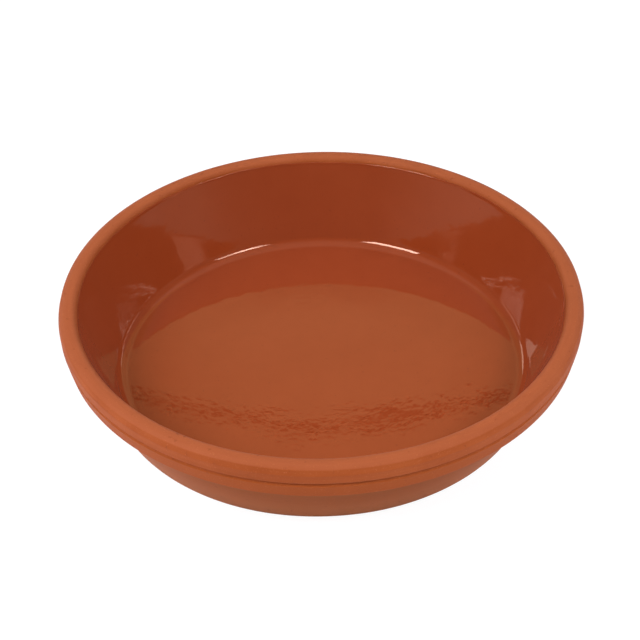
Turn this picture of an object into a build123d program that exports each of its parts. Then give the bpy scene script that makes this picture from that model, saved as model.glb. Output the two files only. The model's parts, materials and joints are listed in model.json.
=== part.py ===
from build123d import *
import math
import os

# Terracotta plant saucer with a glazed inside.
# Millimetres, +Z up. The origin is the middle of the base, on the surface that it stands on.

# --- rim collar -------------------------------------------------------------
collar_radius = 105.0        # outside of the thick collar, the widest place
height = 42.3                # base to the top of the rim
rim_outer_round = 3.7        # roll on the outside of the rim
rim_inner_round = 3.0        # roll on the inside of the rim
collar_lip_z = 34.6          # lower edge of the collar
collar_lip_round = 0.7       # broken edge of that lip

# --- incised groove and the band below the collar ---------------------------
groove_radius = 103.6        # bottom of the groove
groove_z = 33.9
band_top_radius = 104.3      # the band leans in towards the base
band_top_z = 33.0
band_low_radius = 102.7
band_round = 0.9             # rounded lower edge of the band
band_under_z = 26.4          # underside of the band

# --- lower wall and base ----------------------------------------------------
wall_top_radius = 96.3       # where the wall comes out from under the band
wall_top_z = 26.0
under_round = 1.0            # hollow round where the wall meets the band
foot_radius = 85.5           # where the wall's line would meet the ground
foot_round = 1.6             # rounded edge of the base

# --- inside -----------------------------------------------------------------
glaze_edge_radius = 97.4     # inner edge of the rim, where the glaze stops
glaze_edge_z = 40.0
inner_corner_radius = 82.6   # where the inside wall's line would meet the floor
floor_z = 7.0                # top of the glaze on the floor
floor_round = 5.0            # round between floor and wall
glaze_thickness = 0.4

os.makedirs("parts", exist_ok=True)


def unit(a, b):
    """Direction from a to b."""
    d = math.hypot(b[0] - a[0], b[1] - a[1])
    return ((b[0] - a[0]) / d, (b[1] - a[1]) / d)


def rounded(before, corner, after, radius):
    """Start, middle and end of a round of this radius at a corner."""
    u = unit(corner, before)
    v = unit(corner, after)
    half = math.acos(max(-1.0, min(1.0, u[0] * v[0] + u[1] * v[1]))) / 2
    run = radius / math.tan(half)
    w = (u[0] + v[0], u[1] + v[1])
    n = math.hypot(*w)
    w = (w[0] / n, w[1] / n)
    centre = (corner[0] + w[0] * radius / math.sin(half), corner[1] + w[1] * radius / math.sin(half))
    start = (corner[0] + u[0] * run, corner[1] + u[1] * run)
    end = (corner[0] + v[0] * run, corner[1] + v[1] * run)
    middle = (centre[0] - w[0] * radius, centre[1] - w[1] * radius)
    return start, middle, end


# --- the inside surface: floor, round, wall ---------------------------------
axis_floor = (0.0, floor_z)
inner_corner = (inner_corner_radius, floor_z)
glaze_edge = (glaze_edge_radius, glaze_edge_z)
wall_dir = unit(inner_corner, glaze_edge)
into_clay = (wall_dir[1], -wall_dir[0])          # square to the inside wall, outwards

f_start, f_mid, f_end = rounded(axis_floor, inner_corner, glaze_edge, floor_round)

# the same three places on the clay, one glaze thickness behind
f_centre = (f_start[0], floor_z + floor_round)
clay_round = floor_round + glaze_thickness
g_start = (f_start[0], floor_z - glaze_thickness)
g_mid_dir = unit(f_centre, f_mid)
g_mid = (f_centre[0] + g_mid_dir[0] * clay_round, f_centre[1] + g_mid_dir[1] * clay_round)
g_end = (f_end[0] + into_clay[0] * glaze_thickness, f_end[1] + into_clay[1] * glaze_thickness)
g_edge = (glaze_edge[0] + into_clay[0] * glaze_thickness, glaze_edge[1] + into_clay[1] * glaze_thickness)

# --- the outside surface ----------------------------------------------------
ground_axis = (0.0, 0.0)
foot_corner = (foot_radius, 0.0)
wall_top = (wall_top_radius, wall_top_z)
foot_start, foot_mid, foot_end = rounded(ground_axis, foot_corner, wall_top, foot_round)

band_corner = (band_low_radius, band_under_z)
band_top = (band_top_radius, band_top_z)
u_start, u_mid, u_end = rounded(foot_end, wall_top, band_corner, under_round)
b_start, b_mid, b_end = rounded(wall_top, band_corner, band_top, band_round)
groove = (groove_radius, groove_z)
lip_corner = (collar_radius, collar_lip_z)
crown_outer = (collar_radius, height - rim_outer_round)
l_start, l_mid, l_end = rounded(groove, lip_corner, crown_outer, collar_lip_round)

# --- the rim's roll ---------------------------------------------------------
roll_centre = (collar_radius - rim_outer_round, height - rim_outer_round)
roll_mid = (roll_centre[0] + rim_outer_round * math.sqrt(0.5), roll_centre[1] + rim_outer_round * math.sqrt(0.5))
crown = (roll_centre[0], height)
# the inner roll starts level on the top of the rim and ends on the glaze's edge
inner_roll_z = height - rim_inner_round
inner_roll_x = glaze_edge_radius + math.sqrt(rim_inner_round ** 2 - (glaze_edge_z - inner_roll_z) ** 2)
inner_roll_start = (inner_roll_x, height)
a0 = math.pi / 2
a1 = math.atan2(glaze_edge_z - inner_roll_z, glaze_edge_radius - inner_roll_x)
am = (a0 + a1) / 2
inner_roll_mid = (inner_roll_x + rim_inner_round * math.cos(am), inner_roll_z + rim_inner_round * math.sin(am))


def turned(edges):
    """A solid of revolution about Z from a closed outline in the XZ half-plane."""
    outline = make_face(Wire([e.edge() for e in edges]))
    solid = revolve(outline, axis=Axis.Z, revolution_arc=360)
    return solid.solids()[0]


def at(p):
    return (p[0], 0.0, p[1])


def line(a, b):
    return Edge.make_line(at(a), at(b))


def arc(a, b, c):
    return Edge.make_three_point_arc(at(a), at(b), at(c))


# --- terracotta body: one piece of clay -------------------------------------
body_edges = [
    line(ground_axis, foot_start),
    arc(foot_start, foot_mid, foot_end),
    line(foot_end, u_start),
    arc(u_start, u_mid, u_end),
    line(u_end, b_start),
    arc(b_start, b_mid, b_end),
    line(b_end, band_top),
    line(band_top, groove),
    line(groove, l_start),
    arc(l_start, l_mid, l_end),
    line(l_end, crown_outer),
    arc(crown_outer, roll_mid, crown),
    line(crown, inner_roll_start),
    arc(inner_roll_start, inner_roll_mid, glaze_edge),
    line(glaze_edge, g_edge),
    line(g_edge, g_end),
    arc(g_end, g_mid, g_start),
    line(g_start, (0.0, floor_z - glaze_thickness)),
    line((0.0, floor_z - glaze_thickness), ground_axis),
]
terracotta_body = turned(body_edges)
terracotta_body.label = "terracotta_body"

# --- inner glaze: a thin coat, fused to the clay all over -------------------
glaze_edges = [
    line((0.0, floor_z - glaze_thickness), g_start),
    arc(g_start, g_mid, g_end),
    line(g_end, g_edge),
    line(g_edge, glaze_edge),
    line(glaze_edge, f_end),
    arc(f_end, f_mid, f_start),
    line(f_start, axis_floor),
    line(axis_floor, (0.0, floor_z - glaze_thickness)),
]
inner_glaze = turned(glaze_edges)
inner_glaze.label = "inner_glaze"

export_step(terracotta_body, "parts/terracotta_body.step")
export_step(inner_glaze, "parts/inner_glaze.step")

for piece in (terracotta_body, inner_glaze):
    box = piece.bounding_box()
    print(piece.label, "volume %.1f cm3" % (piece.volume / 1000), "z %.2f to %.2f" % (box.min.Z, box.max.Z),
          "across %.2f" % (box.max.X - box.min.X))
print("inside floor is flat to radius %.1f" % f_start[0])
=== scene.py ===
import json
import math

import bpy
import bmesh
import numpy as np
from mathutils import Matrix, Vector

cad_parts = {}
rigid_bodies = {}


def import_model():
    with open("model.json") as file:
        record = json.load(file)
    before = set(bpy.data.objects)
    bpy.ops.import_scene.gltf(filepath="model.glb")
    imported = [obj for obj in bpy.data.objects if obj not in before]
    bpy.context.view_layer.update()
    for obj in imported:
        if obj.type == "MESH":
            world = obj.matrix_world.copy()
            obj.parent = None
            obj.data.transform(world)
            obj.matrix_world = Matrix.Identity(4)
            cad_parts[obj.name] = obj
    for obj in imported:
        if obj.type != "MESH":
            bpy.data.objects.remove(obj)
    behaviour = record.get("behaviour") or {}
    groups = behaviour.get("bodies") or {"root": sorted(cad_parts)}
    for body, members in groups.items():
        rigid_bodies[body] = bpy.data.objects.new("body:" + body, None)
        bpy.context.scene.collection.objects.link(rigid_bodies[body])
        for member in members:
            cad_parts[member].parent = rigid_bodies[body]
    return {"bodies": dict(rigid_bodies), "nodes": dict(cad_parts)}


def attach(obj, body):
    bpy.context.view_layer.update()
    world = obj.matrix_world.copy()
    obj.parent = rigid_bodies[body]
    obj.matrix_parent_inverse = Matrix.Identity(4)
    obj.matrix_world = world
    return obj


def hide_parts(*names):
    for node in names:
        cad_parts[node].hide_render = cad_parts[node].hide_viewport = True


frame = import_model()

# Terracotta plant saucer with a glazed inside: a turned clay body and the fused glaze that lines it.
# Profiles are in millimetres here and become metres when a mesh is made.

for o in list(bpy.data.objects):
    if o not in frame["nodes"].values() and o not in frame["bodies"].values():
        bpy.data.objects.remove(o)
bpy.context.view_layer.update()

MM = 0.001
SEGMENTS = 576

# ------------------------------------------------------------------ the turned profile, as in the CAD model
COLLAR_R, HEIGHT = 105.0, 42.3
OUTER_ROLL, INNER_ROLL = 3.7, 3.0
LIP_Z, LIP_ROUND = 34.6, 0.7
GROOVE_R, GROOVE_Z = 103.5, 33.75
BAND_TOP = (104.25, 32.7)
BAND_LOW = (102.7, 26.4)
BAND_ROUND = 0.9
WALL_TOP = (96.3, 26.0)
UNDER_ROUND = 1.0
FOOT_R, FOOT_ROUND = 85.5, 1.6
EDGE = (97.4, 40.0)
CORNER = (82.6, 7.0)
FLOOR_Z, FLOOR_ROUND = 7.0, 5.0
GLAZE = 0.4


# ------------------------------------------------------------------ small helpers
def unit(a, b):
    d = math.hypot(b[0] - a[0], b[1] - a[1])
    return ((b[0] - a[0]) / d, (b[1] - a[1]) / d)


def line(a, b, n):
    """n points from a towards b, without b."""
    return [(a[0] + (b[0] - a[0]) * k / n, a[1] + (b[1] - a[1]) * k / n) for k in range(n)]


def arc(c, r, a0, a1, n):
    """n points on an arc, angles in radians, without its end."""
    return [(c[0] + r * math.cos(a0 + (a1 - a0) * k / n), c[1] + r * math.sin(a0 + (a1 - a0) * k / n)) for k in range(n)]


def corner(before, at, after, r):
    """(start, centre, angle at start, angle at end, end) of a round at a corner."""
    u, v = unit(at, before), unit(at, after)
    half = math.acos(max(-1, min(1, u[0] * v[0] + u[1] * v[1]))) / 2
    run = r / math.tan(half)
    w = (u[0] + v[0], u[1] + v[1])
    m = math.hypot(*w)
    c = (at[0] + w[0] / m * r / math.sin(half), at[1] + w[1] / m * r / math.sin(half))
    s = (at[0] + u[0] * run, at[1] + u[1] * run)
    e = (at[0] + v[0] * run, at[1] + v[1] * run)
    a0, a1 = math.atan2(s[1] - c[1], s[0] - c[0]), math.atan2(e[1] - c[1], e[0] - c[0])
    while a1 - a0 > math.pi:
        a1 -= 2 * math.pi
    while a1 - a0 < -math.pi:
        a1 += 2 * math.pi
    return s, c, a0, a1, e


def lattice(ix, iy, iz, seed):
    h = (ix * 374761393 + iy * 668265263 + iz * 1103515245 + seed * 1274126177) & 0xFFFFFFFF
    h = ((h ^ (h >> 13)) * 1274126177) & 0xFFFFFFFF
    h = ((h ^ (h >> 15)) * 2246822519) & 0xFFFFFFFF
    return ((h ^ (h >> 16)) & 0xFFFF) / 32767.5 - 1.0


def noise(x, y, z, seed):
    """Smooth value noise from -1 to 1 with a period of about one unit, the same on every run."""
    x, y, z = np.broadcast_arrays(np.asarray(x, float), np.asarray(y, float), np.asarray(z, float))
    fx, fy, fz = np.floor(x), np.floor(y), np.floor(z)
    ix, iy, iz = fx.astype(np.int64), fy.astype(np.int64), fz.astype(np.int64)
    u, v, w = x - fx, y - fy, z - fz
    u, v, w = (t * t * t * (t * (t * 6 - 15) + 10) for t in (u, v, w))
    total = np.zeros(x.shape)
    for a in (0, 1):
        for b in (0, 1):
            for c in (0, 1):
                total += (u if a else 1 - u) * (v if b else 1 - v) * (w if c else 1 - w) * lattice(ix + a, iy + b, iz + c, seed)
    return total


def smooth(x, lo, hi):
    t = np.clip((x - lo) / (hi - lo), 0, 1)
    return t * t * (3 - 2 * t)


def normals_of(p):
    """Unit normals (to the right of the path's direction) of a profile."""
    t = np.gradient(p, axis=0)
    t /= np.maximum(np.hypot(t[:, 0], t[:, 1])[:, None], 1e-9)
    return np.stack([t[:, 1], -t[:, 0]], -1)


def turned_mesh(name, X, Y, Z, along, bottom, top):
    """A closed mesh from rings (rows) of points in mm, with one point on the axis at each end. along is stored on the points."""
    rows, cols = X.shape
    co = np.empty((rows * cols + 2, 3))
    co[:-2, 0], co[:-2, 1], co[:-2, 2] = X.ravel(), Y.ravel(), Z.ravel()
    co[-2], co[-1] = bottom, top
    i, j = np.meshgrid(np.arange(rows - 1), np.arange(cols), indexing="ij")
    k = (j + 1) % cols
    quads = np.stack([i * cols + j, i * cols + k, (i + 1) * cols + k, (i + 1) * cols + j], -1).reshape(-1, 4)
    j = np.arange(cols)
    k = (j + 1) % cols
    low, high = rows * cols, rows * cols + 1
    first = np.stack([np.full(cols, low), k, j], -1)
    last = np.stack([np.full(cols, high), (rows - 1) * cols + j, (rows - 1) * cols + k], -1)
    faces = [tuple(f) for f in quads.tolist()] + [tuple(f) for f in first.tolist()] + [tuple(f) for f in last.tolist()]
    mesh = bpy.data.meshes.new(name)
    mesh.from_pydata((co * MM).tolist(), [], faces)
    bm = bmesh.new()
    bm.from_mesh(mesh)
    bmesh.ops.recalc_face_normals(bm, faces=bm.faces)
    bm.to_mesh(mesh)
    bm.free()
    a = mesh.attributes.new("along", "FLOAT", "POINT")
    vals = np.empty(rows * cols + 2, np.float32)
    vals[:-2] = (np.broadcast_to(along[:, None], X.shape) * MM).ravel()
    vals[-2], vals[-1] = along[0] * MM, along[-1] * MM
    a.data.foreach_set("value", vals)
    mesh.polygons.foreach_set("use_smooth", np.ones(len(mesh.polygons), bool))
    mesh.update()
    obj = bpy.data.objects.new(name, mesh)
    bpy.context.scene.collection.objects.link(obj)
    return obj


THETA = np.arange(SEGMENTS) / SEGMENTS * 2 * math.pi
COS, SIN = np.cos(THETA), np.sin(THETA)

# ------------------------------------------------------------------ terracotta body
wall_dir = unit(CORNER, EDGE)
in_clay = (wall_dir[1], -wall_dir[0])
roll_c = (COLLAR_R - OUTER_ROLL, HEIGHT - OUTER_ROLL)
ir_z = HEIGHT - INNER_ROLL
ir_x = EDGE[0] + math.sqrt(INNER_ROLL ** 2 - (EDGE[1] - ir_z) ** 2)
ir_end = math.atan2(EDGE[1] - ir_z, EDGE[0] - ir_x)

foot = corner((0, 0), (FOOT_R, 0), WALL_TOP, FOOT_ROUND)
under = corner((FOOT_R, 0), WALL_TOP, BAND_LOW, UNDER_ROUND)
band = corner(WALL_TOP, BAND_LOW, BAND_TOP, BAND_ROUND)
band_t = corner(BAND_LOW, BAND_TOP, (GROOVE_R, GROOVE_Z), 0.9)
LIP = (COLLAR_R - 0.30, LIP_Z)                                     # the collar leans in a little towards its lip
lip = corner((GROOVE_R, GROOVE_Z), LIP, (COLLAR_R, HEIGHT - OUTER_ROLL), LIP_ROUND)
groove = corner(BAND_TOP, (GROOVE_R, GROOVE_Z), LIP, 0.35)

step = (EDGE[0] - wall_dir[0] * 0.5, EDGE[1] - wall_dir[1] * 0.5)
fil_c = None
fil_s, fil_c, fil_a0, fil_a1, fil_e = corner((0, FLOOR_Z), CORNER, EDGE, FLOOR_ROUND)

outer = []
outer += line((1.2, 0), foot[0], 62)
outer += arc(foot[1], FOOT_ROUND, foot[2], foot[3], 9)
outer += line(foot[4], under[0], 34)
outer += arc(under[1], UNDER_ROUND, under[2], under[3], 6)
outer += line(under[4], band[0], 6)
outer += arc(band[1], BAND_ROUND, band[2], band[3], 9)
outer += line(band[4], band_t[0], 15)
outer += arc(band_t[1], 0.9, band_t[2], band_t[3], 6)
outer += line(band_t[4], groove[0], 2)
outer += arc(groove[1], 0.35, groove[2], groove[3], 5)
outer += line(groove[4], lip[0], 3)
outer += arc(lip[1], LIP_ROUND, lip[2], lip[3], 7)
outer += line(lip[4], (COLLAR_R, HEIGHT - OUTER_ROLL), 10)
# the rolled rim has a soft shoulder: a short slope, a tight round, then the face
turn = math.radians(55)
slope = (roll_c[0] + OUTER_ROLL * math.cos(turn), roll_c[1] + OUTER_ROLL * math.sin(turn))
along_slope = (math.sin(turn), -math.cos(turn))
face_top = (COLLAR_R, HEIGHT - OUTER_ROLL)
lean_in = math.radians(15)
k = ((face_top[0] - slope[0]) * math.cos(lean_in) + (face_top[1] - slope[1]) * math.sin(lean_in)) / (along_slope[0] * math.cos(lean_in) + along_slope[1] * math.sin(lean_in))
shoulder = (slope[0] + along_slope[0] * k, slope[1] + along_slope[1] * k)
sh = corner(face_top, shoulder, slope, 1.2)
outer += line(face_top, sh[0], 5)
outer += arc(sh[1], 1.2, sh[2], sh[3], 9)
outer += line(sh[4], slope, 3)
outer += arc(roll_c, OUTER_ROLL, turn, math.pi / 2, 10)
outer += line((roll_c[0], HEIGHT), (ir_x, HEIGHT), 4)
outer += arc((ir_x, ir_z), INNER_ROLL, math.pi / 2, ir_end, 14)
outer += line(EDGE, step, 3)
n_seen = len(outer)
hidden = [step]
g = GLAZE
hidden += [(step[0] + in_clay[0] * g, step[1] + in_clay[1] * g)]
hidden += line((step[0] - wall_dir[0] * 1 + in_clay[0] * g, step[1] - wall_dir[1] * 1 + in_clay[1] * g), (fil_e[0] + in_clay[0] * g, fil_e[1] + in_clay[1] * g), 4)
hidden += arc(fil_c, FLOOR_ROUND + g, fil_a1, fil_a0, 7)
hidden += line((fil_s[0], FLOOR_Z - g), (1.2, FLOOR_Z - g), 4)
hidden += [(1.2, FLOOR_Z - g)]
body = np.array(outer + hidden)
nrm = normals_of(body)
along = np.concatenate([[0], np.cumsum(np.hypot(*np.diff(body, axis=0).T))])
seen = (np.arange(len(body)) < n_seen).astype(float)[:, None]

R, Zp = body[:, :1], body[:, 1:]
X0, Y0 = R * COS, R * SIN
S = along[:, None]
# fine turning lines, which come and go round the piece
lines = 0.010 * noise(X0 / 70, Y0 / 70, S / 0.55, 1) + 0.014 * noise(X0 / 90, Y0 / 90, S / 1.3, 2) + 0.012 * noise(X0 / 120, Y0 / 120, S / 3.1, 3)
# the slight unevenness of pressed clay
lumps = 0.035 * noise(X0 / 26, Y0 / 26, Zp / 26 + 0 * X0, 4) + 0.012 * noise(X0 / 9, Y0 / 9, Zp / 9 + 0 * X0, 5)
d = (lines + lumps - 0.085) * seen
on_base = (body[:, 1:] < 0.02) & (seen > 0)
hollow = 0.30 * (1 - smooth(R, 58.0, 63.0))                      # the base is a little hollow inside its foot ring
mark = 0.05 * (noise(X0 / 60, Y0 / 60, S / 1.6, 6) + 1)
base_up = np.where(on_base, hollow + mark * smooth(84.0 - R, 0.0, 3.0), 0.0)
d = np.where(on_base, -base_up, d)
rim_wave = (0.05 * np.cos(2 * THETA + 0.7) + 0.03 * np.cos(3 * THETA + 2.0) - 0.09)[None, :] * smooth(Zp, 30.0, 40.0)
Rr = R + d * nrm[:, :1]
Zz = Zp + d * nrm[:, 1:] + rim_wave * (Zp > 30)
lean = -0.80 * np.clip(1 - Zp / 26.0, 0, 1) * (np.arange(len(body))[:, None] < n_seen - 60)   # the foot sits a hair to one side of the rim
clay = turned_mesh("saucer_clay", Rr * COS + lean, Rr * SIN, np.maximum(Zz, 0.0), along, (lean[0, 0], 0, 0.35), (0, 0, FLOOR_Z - g))

# ------------------------------------------------------------------ inner glaze
# base curve: floor, round, wall, then over the rim's inner roll
g_floor = line((0.8, FLOOR_Z), fil_s, 86)
g_round = arc(fil_c, FLOOR_ROUND, fil_a0, fil_a1, 18)
g_wall = line(fil_e, EDGE, 44)
top = np.array(g_floor + g_round + g_wall)
top_n = -normals_of(top)                                          # towards the inside of the saucer
s_top = np.concatenate([[0], np.cumsum(np.hypot(*np.diff(top, axis=0).T))])
s_edge = s_top[-1] + math.hypot(EDGE[0] - top[-1, 0], EDGE[1] - top[-1, 1])


def curve_at(s):
    """Point and inward normal of the base curve at a distance s past the edge, up over the rim's roll (or down the wall if negative)."""
    s = np.asarray(s, float)
    a = ir_end - np.maximum(s, 0) / INNER_ROLL
    px = np.where(s > 0, ir_x + INNER_ROLL * np.cos(a), EDGE[0] + wall_dir[0] * s)
    pz = np.where(s > 0, ir_z + INNER_ROLL * np.sin(a), EDGE[1] + wall_dir[1] * s)
    blend = smooth(s, -0.6, 0.3)
    nx = (1 - blend) * -in_clay[0] + blend * np.cos(a)
    nz = (1 - blend) * -in_clay[1] + blend * np.sin(a)
    m = np.hypot(nx, nz)
    return px, pz, nx / m, nz / m


R, Zp = top[:, :1], top[:, 1:]
X0, Y0 = R * COS, R * SIN
S = s_top[:, None]
swell = 0.012 * noise(X0 / 17, Y0 / 17, Zp / 17 + 0 * X0, 11) + 0.0045 * noise(X0 / 6.5, Y0 / 6.5, Zp / 6.5 + 0 * X0, 12)
rings = (0.010 * noise(X0 / 80, Y0 / 80, S / 4.2, 13) + 0.012 * noise(X0 / 60, Y0 / 60, S / 9.0, 14)) * smooth(S, s_top[85], s_top[85] + 12)
lift = (swell + rings) * smooth(S, 0.0, 12.0)
wob = 0.20 * noise(COS * 6.0, SIN * 6.0, 0.0, 15) + 0.12 * noise(COS * 19.0, SIN * 19.0, 0.0, 16) + 0.05 * noise(COS * 60.0, SIN * 60.0, 0.0, 17) + 0.06
# the last 1.2 mm is a soft bead that ends on the clay
bead_s, bead_h = [-1.2, -0.85, -0.6, -0.42, -0.28, -0.16, -0.07, 0.0], [0.0, 0.02, 0.05, 0.075, 0.08, 0.06, 0.015, -0.09]
keep = s_top < s_edge - 1.5
Xs, Ys, Zs, al = [], [], [], []
rr = R + lift * top_n[:, :1]
zz = Zp + lift * top_n[:, 1:]
for i in np.nonzero(keep)[0]:
    Xs.append(rr[i] * COS)
    Ys.append(rr[i] * SIN)
    Zs.append(zz[i] + 0 * COS)
    al.append(s_top[i])
thick = 1.0 + 0.35 * noise(COS * 11.0, SIN * 11.0, 0.0, 18)
for bs, bh in zip(bead_s, bead_h):
    px, pz, nx, nz = curve_at(bs + wob * smooth(np.array(bs), -1.5, -0.3))
    h = bh * (thick if bh > 0 else 1.0)
    Xs.append((px + nx * h) * COS)
    Ys.append((px + nx * h) * SIN)
    Zs.append(pz + nz * h)
    al.append(s_edge + bs)
# and back underneath, against the clay
back = [(step[0] + in_clay[0] * 0.10, step[1] + in_clay[1] * 0.10)]
t = GLAZE - 0.02
back += line((step[0] - wall_dir[0] * 0.6 + in_clay[0] * t, step[1] - wall_dir[1] * 0.6 + in_clay[1] * t), (fil_e[0] + in_clay[0] * t, fil_e[1] + in_clay[1] * t), 4)
back += arc(fil_c, FLOOR_ROUND + t, fil_a1, fil_a0, 7)
back += line((fil_s[0], FLOOR_Z - t), (0.8, FLOOR_Z - t), 4)
back += [(0.8, FLOOR_Z - t)]
for k, (r, z) in enumerate(back):
    Xs.append(r * COS)
    Ys.append(r * SIN)
    Zs.append(z + 0 * COS)
    al.append(s_edge + 1 + k)
glaze = turned_mesh("saucer_glaze", np.array(Xs), np.array(Ys), np.array(Zs), np.array(al), (0, 0, FLOOR_Z), (0, 0, FLOOR_Z - t))


# ------------------------------------------------------------------ materials
class Nodes:
    """A short way to make nodes and join them."""

    def __init__(self, name):
        self.material = bpy.data.materials.new(name)
        self.material.use_nodes = True
        self.tree = self.material.node_tree
        self.tree.nodes.clear()

    def add(self, kind, **values):
        node = self.tree.nodes.new(kind)
        for key, value in values.items():
            setattr(node, key, value)
        return node

    def put(self, socket, value):
        if isinstance(value, bpy.types.NodeSocket):
            self.tree.links.new(value, socket)
        else:
            socket.default_value = value

    def math(self, op, a, b=0.0, clamp=False):
        n = self.add("ShaderNodeMath", operation=op, use_clamp=clamp)
        self.put(n.inputs[0], a)
        self.put(n.inputs[1], b)
        return n.outputs[0]

    def noise(self, vector, scale, detail=2.0, rough=0.5, distortion=0.0):
        n = self.add("ShaderNodeTexNoise")
        self.put(n.inputs["Vector"], vector)
        self.put(n.inputs["Scale"], scale)
        self.put(n.inputs["Detail"], detail)
        self.put(n.inputs["Roughness"], rough)
        self.put(n.inputs["Distortion"], distortion)
        return n.outputs[0]

    def ramp(self, value, stops):
        n = self.add("ShaderNodeValToRGB")
        self.put(n.inputs[0], value)
        e = n.color_ramp.elements
        while len(e) < len(stops):
            e.new(0.5)
        for el, (pos, col) in zip(e, stops):
            el.position = pos
            el.color = (*col, 1.0) if len(col) == 3 else col
        return n.outputs[0]

    def mix(self, factor, a, b, blend="MIX"):
        n = self.add("ShaderNodeMix", data_type="RGBA", blend_type=blend)
        self.put(n.inputs[0], factor)
        for socket, value in ((n.inputs[6], a), (n.inputs[7], b)):
            self.put(socket, (*value, 1.0) if isinstance(value, tuple) and len(value) == 3 else value)
        return n.outputs[2]

    def vector(self, x, y, z):
        n = self.add("ShaderNodeCombineXYZ")
        for s, v in zip(n.inputs, (x, y, z)):
            self.put(s, v)
        return n.outputs[0]


def terracotta():
    m = Nodes("terracotta")
    pos = m.add("ShaderNodeTexCoord").outputs["Object"]
    sep = m.add("ShaderNodeSeparateXYZ")
    m.put(sep.inputs[0], pos)
    x, y, z = sep.outputs
    a = m.add("ShaderNodeAttribute", attribute_type="GEOMETRY", attribute_name="along").outputs["Fac"]
    # streaks that run round the piece: long across, fine along the profile
    ring = m.vector(m.math("MULTIPLY", x, 14.0), m.math("MULTIPLY", y, 14.0), m.math("MULTIPLY", a, 620.0))
    ring2 = m.vector(m.math("MULTIPLY", x, 9.0), m.math("MULTIPLY", y, 9.0), m.math("MULTIPLY", a, 1700.0))
    streak = m.noise(ring, 1.0, 3.0, 0.6)
    fine = m.noise(ring2, 1.0, 2.0, 0.5)
    mottle = m.noise(pos, 55.0, 3.0, 0.55)
    grain = m.noise(pos, 1500.0, 2.0, 0.6)
    grit = m.noise(pos, 420.0, 2.0, 0.5)
    tone = m.math("ADD", m.math("MULTIPLY", streak, 0.45), m.math("MULTIPLY", mottle, 0.55))
    colour = m.ramp(tone, [(0.30, (0.262, 0.0505, 0.0095)), (0.50, (0.299, 0.0610, 0.0125)), (0.70, (0.336, 0.0735, 0.0167))])
    # paler towards the foot: painted light, standing in for the bounce off the white floor
    painted_floor_bounce = m.ramp(m.math("ADD", m.math("MULTIPLY", z, 40.0), m.math("MULTIPLY", mottle, 0.15)), [(0.10, (0.75, 0.75, 0.75)), (0.80, (0, 0, 0))])
    colour = m.mix(painted_floor_bounce, colour, (0.372, 0.134, 0.0530))
    # and browner on the wall under the band, most near the band: painted shade, where the band's overhang keeps light
    # off the wall
    low = m.ramp(m.math("ADD", m.math("MULTIPLY", z, 32.0), m.math("MULTIPLY", m.math("SUBTRACT", mottle, 0.5), 0.02)), [(0.22, (0, 0, 0)), (0.62, (1, 1, 1)), (0.838, (1, 1, 1)), (0.850, (0, 0, 0))])
    colour = m.mix(low, colour, (0.240, 0.0650, 0.0170))
    # the band itself is a shade redder
    belt = m.ramp(m.math("MULTIPLY", z, 25.0), [(0.662, (0, 0, 0)), (0.672, (0.8, 0.8, 0.8)), (0.825, (0.8, 0.8, 0.8)), (0.838, (0, 0, 0))])
    colour = m.mix(belt, colour, (0.285, 0.0540, 0.0060))
    # paler where it faces up: painted light, the top lit more than the sides
    face = m.add("ShaderNodeSeparateXYZ")
    m.put(face.inputs[0], m.add("ShaderNodeTexCoord").outputs["Normal"])
    top = m.ramp(m.math("ADD", face.outputs[2], m.math("MULTIPLY", m.math("SUBTRACT", mottle, 0.5), 0.4)), [(0.35, (0, 0, 0)), (0.85, (0.6, 0.6, 0.6))])
    colour = m.mix(top, colour, (0.322, 0.082, 0.0300))
    # small pale and dark grains of the clay
    colour = m.mix(m.ramp(grain, [(0.60, (0, 0, 0)), (0.78, (1, 1, 1))]), colour, (0.385, 0.103, 0.034))
    colour = m.mix(m.ramp(grit, [(0.66, (0, 0, 0)), (0.80, (0.8, 0.8, 0.8))]), colour, (0.205, 0.043, 0.012))
    rough = m.ramp(m.math("ADD", m.math("MULTIPLY", fine, 0.5), m.math("MULTIPLY", grain, 0.5)), [(0.3, (0.60, 0.60, 0.60)), (0.7, (0.76, 0.76, 0.76))])
    height = m.math("ADD", m.math("ADD", m.math("MULTIPLY", fine, 0.5), m.math("MULTIPLY", streak, 0.8)), m.math("ADD", m.math("MULTIPLY", grain, 0.35), m.math("MULTIPLY", grit, 0.5)))
    bump = m.add("ShaderNodeBump")
    m.put(bump.inputs["Strength"], 0.55)
    m.put(bump.inputs["Distance"], 0.00004)
    m.put(bump.inputs["Height"], height)
    p = m.add("ShaderNodeBsdfPrincipled")
    m.put(p.inputs["Base Color"], colour)
    m.put(p.inputs["Roughness"], rough)
    m.put(p.inputs["Normal"], bump.outputs[0])
    p.inputs["IOR"].default_value = 1.45
    p.inputs["Specular IOR Level"].default_value = 0.08
    p.inputs["Sheen Weight"].default_value = 0.035
    p.inputs["Sheen Roughness"].default_value = 0.5
    p.inputs["Sheen Tint"].default_value = (1.0, 0.95, 0.92, 1.0)
    out = m.add("ShaderNodeOutputMaterial")
    m.tree.links.new(p.outputs[0], out.inputs[0])
    return m.material


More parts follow.
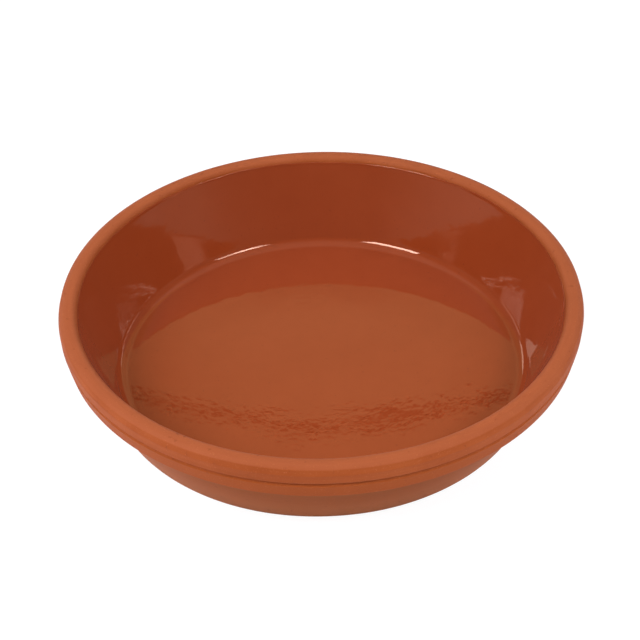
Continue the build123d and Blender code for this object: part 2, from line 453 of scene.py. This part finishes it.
def clear_glaze():
    m = Nodes("clear_glaze")
    pos = m.add("ShaderNodeTexCoord").outputs["Object"]
    a = m.add("ShaderNodeAttribute", attribute_type="GEOMETRY", attribute_name="along").outputs["Fac"]
    mottle = m.noise(pos, 34.0, 3.0, 0.5)
    speck = m.noise(pos, 900.0, 1.0, 0.5)
    cloud = m.noise(pos, 140.0, 2.0, 0.5)
    tone = m.math("ADD", m.math("MULTIPLY", mottle, 0.7), m.math("MULTIPLY", cloud, 0.3))
    colour = m.ramp(tone, [(0.30, (0.236, 0.0348, 0.0066)), (0.50, (0.243, 0.0367, 0.0073)), (0.70, (0.250, 0.0388, 0.0081))])
    colour = m.mix(m.ramp(speck, [(0.70, (0, 0, 0)), (0.80, (0.55, 0.55, 0.55))]), colour, (0.165, 0.0225, 0.0065))
    # ripple of the fired coat, longer round the piece than across it
    sep = m.add("ShaderNodeSeparateXYZ")
    m.put(sep.inputs[0], pos)
    x, y, z = sep.outputs
    peel = m.noise(m.vector(m.math("MULTIPLY", x, 320.0), m.math("MULTIPLY", y, 320.0), m.math("MULTIPLY", a, 340.0)), 1.0, 1.0, 0.4, 0.35)
    wide = m.noise(m.vector(m.math("MULTIPLY", x, 60.0), m.math("MULTIPLY", y, 60.0), m.math("MULTIPLY", a, 120.0)), 1.0, 1.0, 0.4, 0.2)
    up_wall = m.ramp(m.math("MULTIPLY", a, 8.0), [(0.62, (0.215, 0.215, 0.215)), (0.72, (0.42, 0.42, 0.42))])
    height = m.math("ADD", m.math("MULTIPLY", peel, 0.80), m.math("MULTIPLY", wide, 0.25))
    height = m.math("MULTIPLY", height, up_wall)
    bump = m.add("ShaderNodeBump")
    m.put(bump.inputs["Strength"], 1.0)
    m.put(bump.inputs["Distance"], 0.000085)
    m.put(bump.inputs["Height"], height)
    p = m.add("ShaderNodeBsdfPrincipled")
    m.put(p.inputs["Base Color"], colour)
    # on the wall the gloss is broken by very fine dull pits, which soften what it mirrors
    pits = m.math("ADD", m.math("MULTIPLY", m.noise(pos, 5200.0, 1.0, 0.5), 0.85), m.math("MULTIPLY", cloud, 0.15))
    dull = m.math("MULTIPLY", m.ramp(pits, [(0.53, (0, 0, 0)), (0.60, (1, 1, 1))]), m.ramp(m.math("MULTIPLY", a, 8.0), [(0.70, (0, 0, 0)), (0.76, (0.16, 0.16, 0.16))]))
    rough = m.math("ADD", m.ramp(cloud, [(0.3, (0.012, 0.012, 0.012)), (0.7, (0.022, 0.022, 0.022))]), dull)
    m.put(p.inputs["Roughness"], rough)
    m.put(p.inputs["Normal"], bump.outputs[0])
    p.inputs["IOR"].default_value = 1.55
    p.inputs["Sheen Weight"].default_value = 0.023
    p.inputs["Sheen Roughness"].default_value = 0.6
    p.inputs["Sheen Tint"].default_value = (1.0, 0.92, 0.90, 1.0)
    p.inputs["Specular Tint"].default_value = (1.0, 0.66, 0.52, 1.0)
    out = m.add("ShaderNodeOutputMaterial")
    m.tree.links.new(p.outputs[0], out.inputs[0])
    return m.material


clay.data.materials.append(terracotta())
glaze.data.materials.append(clear_glaze())
for piece, node, slot in ((clay, "terracotta_body", "terracotta"), (glaze, "inner_glaze", "glaze")):
    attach(piece, "root")
    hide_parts(node)

# ------------------------------------------------------------------ stage: a pale floor, soft studio light
floor_mesh = bpy.data.meshes.new("stage_floor")
floor_mesh.from_pydata([(-6, -6, 0), (6, -6, 0), (6, 6, 0), (-6, 6, 0)], [], [(0, 1, 2, 3)])
floor = bpy.data.objects.new("stage_floor", floor_mesh)
bpy.context.scene.collection.objects.link(floor)
m = Nodes("stage_white")
bounce = m.add("ShaderNodeBsdfDiffuse")
bounce.inputs[0].default_value = (0.84, 0.84, 0.84, 1)
paper = m.add("ShaderNodeBsdfDiffuse")
paper.inputs[0].default_value = (0.15, 0.15, 0.15, 1)
glow = m.add("ShaderNodeEmission")
glow.inputs[1].default_value = 0.90
white = m.add("ShaderNodeAddShader")
m.tree.links.new(paper.outputs[0], white.inputs[0])
m.tree.links.new(glow.outputs[0], white.inputs[1])
table = m.add("ShaderNodeEmission", name="table_glow")
# the table is a little brighter to the saucer's left and right
across = m.add("ShaderNodeSeparateXYZ")
m.put(across.inputs[0], m.add("ShaderNodeTexCoord").outputs["Object"])
side = m.math("ABSOLUTE", across.outputs[0])
m.put(table.inputs[1], m.ramp(m.math("MULTIPLY", side, 5.0), [(0.20, (0.13, 0.13, 0.13)), (0.50, (0.44, 0.44, 0.44))]))
lit = m.add("ShaderNodeAddShader")
m.tree.links.new(bounce.outputs[0], lit.inputs[0])
m.tree.links.new(table.outputs[0], lit.inputs[1])
seen_by = m.add("ShaderNodeLightPath")
either = m.add("ShaderNodeMixShader")
m.tree.links.new(seen_by.outputs["Is Camera Ray"], either.inputs[0])
m.tree.links.new(lit.outputs[0], either.inputs[1])
m.tree.links.new(white.outputs[0], either.inputs[2])
out = m.add("ShaderNodeOutputMaterial")
m.tree.links.new(either.outputs[0], out.inputs[0])
floor_mesh.materials.append(m.material)


def panel(name, azimuth, elevation, distance, width, height, radiance, colour=(1, 1, 1), aim=(0, 0, 0.02)):
    """A soft light. Azimuth 0 is behind the saucer, 90 to the right, 180 towards the camera."""
    a, e = math.radians(azimuth), math.radians(elevation)
    away = Vector((math.sin(a) * math.cos(e), math.cos(a) * math.cos(e), math.sin(e)))
    light = bpy.data.lights.new(name, "AREA")
    light.shape = "RECTANGLE"
    light.size, light.size_y = width, height
    light.energy = radiance * width * height * math.pi
    light.color = colour
    o = bpy.data.objects.new(name, light)
    o.location = Vector(aim) + away * distance
    o.rotation_mode = "QUATERNION"
    o.rotation_quaternion = (-away).to_track_quat("-Z", "Y")
    o.visible_camera = False
    bpy.context.scene.collection.objects.link(o)
    return o


panel("key_right", 129.5, 46.2, 1.1, 0.47, 0.16, 12.3)
panel("key_right_middle", 131.5, 46.2, 1.09, 0.20, 0.16, 12.8)
panel("key_left", -133, 45, 1.1, 0.47, 0.32, 10.3)
# the left lamp's bright core and the right lamp's dim lower edge, which show only in the glaze
for name, azimuth, elevation, high, radiance in (("skirt_right", 129.5, 39.4, 0.09, 4.5), ("core_left", -133, 45, 0.326, 10.0)):
    panel(name, azimuth, elevation, 1.12, 0.478, high, radiance).visible_diffuse = False
panel("back_left", -32, 18, 1.3, 0.30, 0.24, 3.0, (1.0, 0.85, 0.75))
panel("back_right", 38, 16.2, 1.3, 0.26, 0.07, 2.5, (1.0, 0.85, 0.75))
panel("overhead", 0, 88, 2.0, 2.7, 2.7, 0.39)
panel("fill_right", 94, 40, 1.5, 1.3, 0.9, 2.35, (0.93, 1.05, 1.36)).visible_glossy = False
panel("fill_left", -94, 40, 1.5, 1.3, 0.9, 3.8, (0.93, 1.05, 1.36)).visible_glossy = False
# a softly lit backdrop in two parts with a dark gap between them; it is seen only in the glaze
arch = [(-1.2, 1.02), (-0.60, 1.22), (-0.40, 1.30), (-0.225, 1.360), (-0.17, 1.379), (-0.105, 1.392), (-0.085, 1.395), (-0.06, 1.409), (-0.03, 1.415), (0, 1.413),
        (0.03, 1.4085), (0.06, 1.402), (0.085, 1.393), (0.105, 1.390), (0.17, 1.383), (0.225, 1.368), (0.40, 1.323), (0.60, 1.255), (1.2, 1.09)]
def backdrop(name, edge, far, strength, rows=(), y=1.6):
    """A glowing sheet between an arched edge and a level edge. Rows are heights above the line where the far rim cuts it off, with their share of the glow."""
    levels = [[z for x, z in edge]] + [[min(1.185 + 2.07 * x * x, z - 0.05) + h for x, z in edge] for h, share in rows] + [[far] * len(edge)]
    shares = [1.0] + [share for h, share in rows] + [rows[-1][1] if rows else 1.0]
    pts = [(x, y, z) for level in levels for (x, top), z in zip(edge, level)]
    k = len(edge)
    mesh = bpy.data.meshes.new(name)
    mesh.from_pydata(pts, [], [(r * k + i, r * k + i + 1, (r + 1) * k + i + 1, (r + 1) * k + i) for r in range(len(levels) - 1) for i in range(k - 1)])
    o = bpy.data.objects.new(name, mesh)
    bpy.context.scene.collection.objects.link(o)
    m = Nodes(name)
    glow = m.add("ShaderNodeEmission", name="glow")
    glow.inputs[0].default_value = (1.0, 0.82, 0.42, 1)
    middle = np.clip((0.146 - np.abs([x for x, z in edge])) / 0.086, 0, 1)
    dim = (1 - (1 - np.array(shares)[:, None]) * middle) * np.interp([x for x, z in edge], [-0.30, -0.225, -0.17, -0.105, 0.105, 0.17, 0.225, 0.30], [0.55, 0.70, 0.92, 1.0, 1.0, 0.98, 0.88, 0.75])
    mesh.attributes.new("glow", "FLOAT", "POINT").data.foreach_set("value", (dim * strength).ravel().astype(np.float32))
    m.put(glow.inputs[1], m.add("ShaderNodeAttribute", attribute_type="GEOMETRY", attribute_name="glow").outputs["Fac"])
    out = m.add("ShaderNodeOutputMaterial")
    m.tree.links.new(glow.outputs[0], out.inputs[0])
    mesh.materials.append(m.material)
    o.visible_camera = False
    o.visible_shadow = False


backdrop("stage_backdrop", arch, 0.55, 0.82, ((0.032, 1.0), (0.022, 0.93), (0.014, 0.85), (0.008, 0.76), (0.003, 0.64), (-0.010, 0.60)))
backdrop("stage_backdrop_top", [(x, z + float(np.interp(x, [-0.17, -0.105, -0.085, -0.06, -0.03, 0, 0.03, 0.06, 0.085, 0.105, 0.17], [0.0135, 0.0145, 0.0215, 0.022, 0.020, 0.0165, 0.016, 0.019, 0.0225, 0.0255, 0.0145]))) for x, z in arch], 2.3, 0.76)
backdrop("stage_backdrop_dark", [(x, 0.6) for x, z in arch], 2.2, 0.0, y=1.64)

# low walls of the room to the left and right of the camera, brighter to the sides; they are seen only in the glaze
side_az = np.arange(-180, 181, 3)
side_glow = np.interp(side_az, [-180, -152, -136, -119, -107, -95, -70, 70, 95, 107, 119, 136, 152, 180], [0, 0.02, 0.26, 0.50, 0.55, 0.55, 0.0, 0.0, 0.40, 0.32, 0.42, 0.12, 0.0, 0])
side_top = np.array([0.0, 0.15, 0.30, 0.42, 0.55])
side_fade = np.array([1.0, 1.0, 0.9, 0.45, 0.0])
pts = [(1.5 * math.sin(math.radians(a)), 1.5 * math.cos(math.radians(a)), z) for z in side_top for a in side_az]
k = len(side_az)
ring_mesh = bpy.data.meshes.new("stage_sides")
ring_mesh.from_pydata(pts, [], [(r * k + i, r * k + i + 1, (r + 1) * k + i + 1, (r + 1) * k + i) for r in range(len(side_top) - 1) for i in range(k - 1)])
ring_mesh.attributes.new("glow", "FLOAT", "POINT").data.foreach_set("value", (side_fade[:, None] * side_glow[None, :]).ravel().astype(np.float32))
ring = bpy.data.objects.new("stage_sides", ring_mesh)
bpy.context.scene.collection.objects.link(ring)
m = Nodes("stage_sides")
level = m.add("ShaderNodeAttribute", attribute_type="GEOMETRY", attribute_name="glow").outputs["Fac"]
glow = m.add("ShaderNodeEmission")
glow.inputs[0].default_value = (1.0, 0.95, 0.85, 1)
m.put(glow.inputs[1], level)
clear = m.add("ShaderNodeBsdfTransparent")
both = m.add("ShaderNodeAddShader")
m.tree.links.new(glow.outputs[0], both.inputs[0])
m.tree.links.new(clear.outputs[0], both.inputs[1])
out = m.add("ShaderNodeOutputMaterial")
m.tree.links.new(both.outputs[0], out.inputs[0])
ring_mesh.materials.append(m.material)
ring.visible_camera = False
ring.visible_shadow = False

world = bpy.data.worlds.new("studio")
bpy.context.scene.world = world
world.use_nodes = True
wt = world.node_tree
wt.nodes.clear()
seen_bg = wt.nodes.new("ShaderNodeBackground")
seen_bg.inputs[0].default_value = (1, 1, 1, 1)
seen_bg.inputs[1].default_value = 1.0
room = wt.nodes.new("ShaderNodeBackground")
room.inputs[0].default_value = (1, 1, 1, 1)
room.inputs[1].default_value = 0.18
path = wt.nodes.new("ShaderNodeLightPath")
mixer = wt.nodes.new("ShaderNodeMixShader")
wout = wt.nodes.new("ShaderNodeOutputWorld")
wt.links.new(path.outputs["Is Camera Ray"], mixer.inputs[0])
wt.links.new(room.outputs[0], mixer.inputs[1])
wt.links.new(seen_bg.outputs[0], mixer.inputs[2])
wt.links.new(mixer.outputs[0], wout.inputs[0])

scene = bpy.context.scene
scene.view_settings.view_transform = "Standard"
scene.view_settings.look = "None"
scene.view_settings.exposure = 0.0
scene.view_settings.gamma = 1.0

# ------------------------------------------------------------------ camera, at the photograph's angle
ELEV, DIST, FOCAL, ROLL, OX, OY = 0.687585, 0.8925, 2166.4, -0.021771, 322.4329, 374.9578   # focal length in pixels of a 640 frame
place = Vector((0, -DIST * math.cos(ELEV), DIST * math.sin(ELEV)))
fwd = Vector((0, math.cos(ELEV), -math.sin(ELEV)))
right = Vector((1, 0, 0))
up = right.cross(fwd)
cr, sr = math.cos(ROLL), math.sin(ROLL)
right, up = cr * right + sr * up, -sr * right + cr * up
axis = (fwd - right * ((OX - 320) / FOCAL) + up * ((OY - 320) / FOCAL)).normalized()
right = (right - axis * right.dot(axis)).normalized()
up = right.cross(axis)
cam_data = bpy.data.cameras.new("camera")
cam_data.sensor_fit = "HORIZONTAL"
cam_data.sensor_width = 36.0
cam_data.lens = FOCAL * 36.0 / 640.0
cam_data.clip_start, cam_data.clip_end = 0.05, 50.0
cam = bpy.data.objects.new("camera", cam_data)
cam.matrix_world = Matrix(((right.x, up.x, -axis.x, place.x), (right.y, up.y, -axis.y, place.y), (right.z, up.z, -axis.z, place.z), (0, 0, 0, 1)))
bpy.context.scene.collection.objects.link(cam)
scene.camera = cam

bpy.context.view_layer.update()
